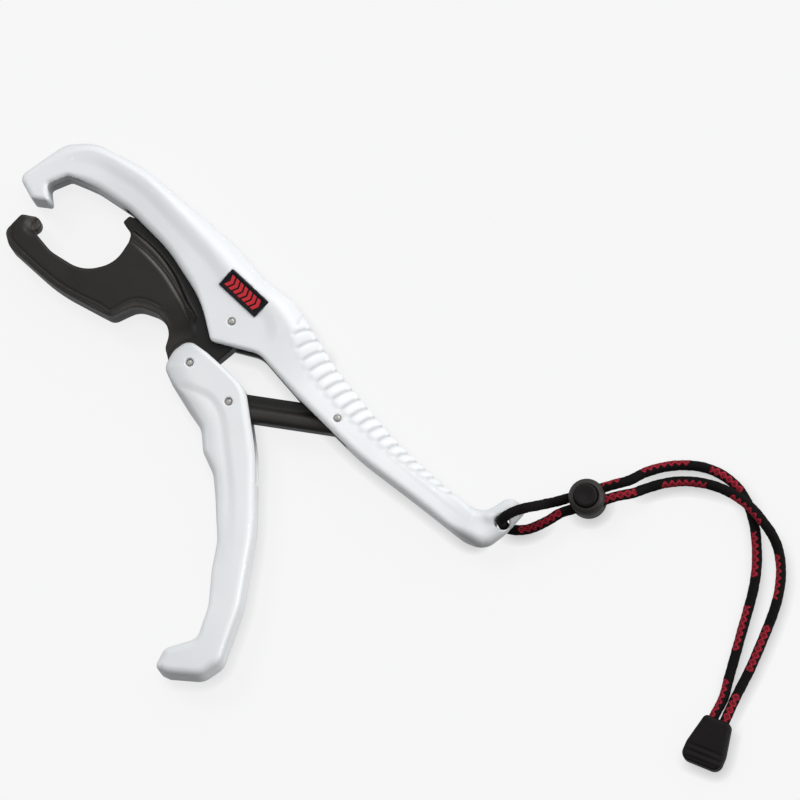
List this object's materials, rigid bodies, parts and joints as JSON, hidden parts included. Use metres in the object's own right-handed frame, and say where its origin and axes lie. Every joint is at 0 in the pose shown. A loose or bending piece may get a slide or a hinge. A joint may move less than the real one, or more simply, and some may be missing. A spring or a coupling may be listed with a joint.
{
  "type": "fish lip grip",
  "caption": "One-handed lever fish lip grip: fixed upper jaw on a ribbed handle, swinging lower jaw worked by a finger trigger through a toggle link, with a corded wrist lanyard and cord lock.",
  "frame": {"origin": "on the jaw pivot's axis, at the flat back face the tool lies on", "axes": "+X from the jaw pivot along the handle to the lanyard hole; +Z along the pivot axes, out of the near face; +Y towards the back of the handle"},
  "size_m": [0.3458, 0.1863, 0.0205],
  "materials": {
    "shell_white": "fine satin moulding, pale grey-white",
    "jaw_black": "satin warm black glass-filled moulding",
    "lock_black": "satin dark moulding",
    "float_foam": "closed-cell foam",
    "washer_plastic": "natural acetal",
    "steel": "stainless, lightly polished ends",
    "badge_black": "gloss black",
    "badge_red": "gloss red",
    "cord_weave": "round braided cord, black with red flecks"
  },
  "bodies": {
    "frame_body": {"body_near_half": "shell_white", "body_far_half": "shell_white", "handle_float_core": "float_foam", "body_screws": "steel", "badge_plate": "badge_black", "badge_inlay": "badge_red", "jaw_pivot_pin": "steel", "jaw_washers": "washer_plastic", "link_rear_pin": "steel"},
    "jaw": {"lower_jaw": "jaw_black"},
    "trigger": {"trigger_near_half": "shell_white", "trigger_far_half": "shell_white", "trigger_screws": "steel", "trigger_pivot_pin": "steel", "trigger_washers": "washer_plastic", "link_front_pin": "steel"},
    "link": {"toggle_link": "jaw_black"},
    "lanyard": {"lanyard_cord": "cord_weave", "cord_end_knot": "cord_weave", "cord_cap_near": "lock_black", "cord_cap_far": "lock_black"},
    "cord_lock": {"cordlock_barrel": "lock_black", "cordlock_spring": "steel"},
    "lock_button": {"cordlock_plunger": "lock_black"}
  },
  "joints": [
    {"name": "jaw_hinge", "type": "hinge", "parent": "frame_body", "child": "jaw", "pos_m": [0, 0, 0.0095], "axis": [0, 0, 1], "range_deg": [-4, 16]},
    {"name": "trigger_hinge", "type": "hinge", "parent": "jaw", "child": "trigger", "pos_m": [-0.00334, -0.02173, 0.0095], "axis": [0, 0, 1], "range_deg": [-34.5, 8.8]},
    {"name": "link_hinge", "type": "hinge", "parent": "frame_body", "child": "link", "pos_m": [0.05438, -0.00598, 0.0095], "axis": [0, 0, 1], "range_deg": [-3, 11.3]},
    {"name": "lanyard_swing", "type": "hinge", "parent": "frame_body", "child": "lanyard", "pos_m": [0.1274, -0.001, 0.0095], "axis": [0, 0, 1], "range_deg": [-20, 20]},
    {"name": "lock_slide", "type": "slide", "parent": "lanyard", "child": "cord_lock", "axis": [0.6074, 0.7944, 0], "range_m": [-0.004, 0.004]},
    {"name": "button_press", "type": "slide", "parent": "cord_lock", "child": "lock_button", "axis": [0, 0, -1], "range_m": [0, 0.0019], "deforming": ["cordlock_spring"]}
  ],
  "couplings": [
    {"joint": "trigger_hinge", "follows": "jaw_hinge", "ratio": -2.137},
    {"joint": "link_hinge", "follows": "jaw_hinge", "ratio": 0.695}
  ]
}
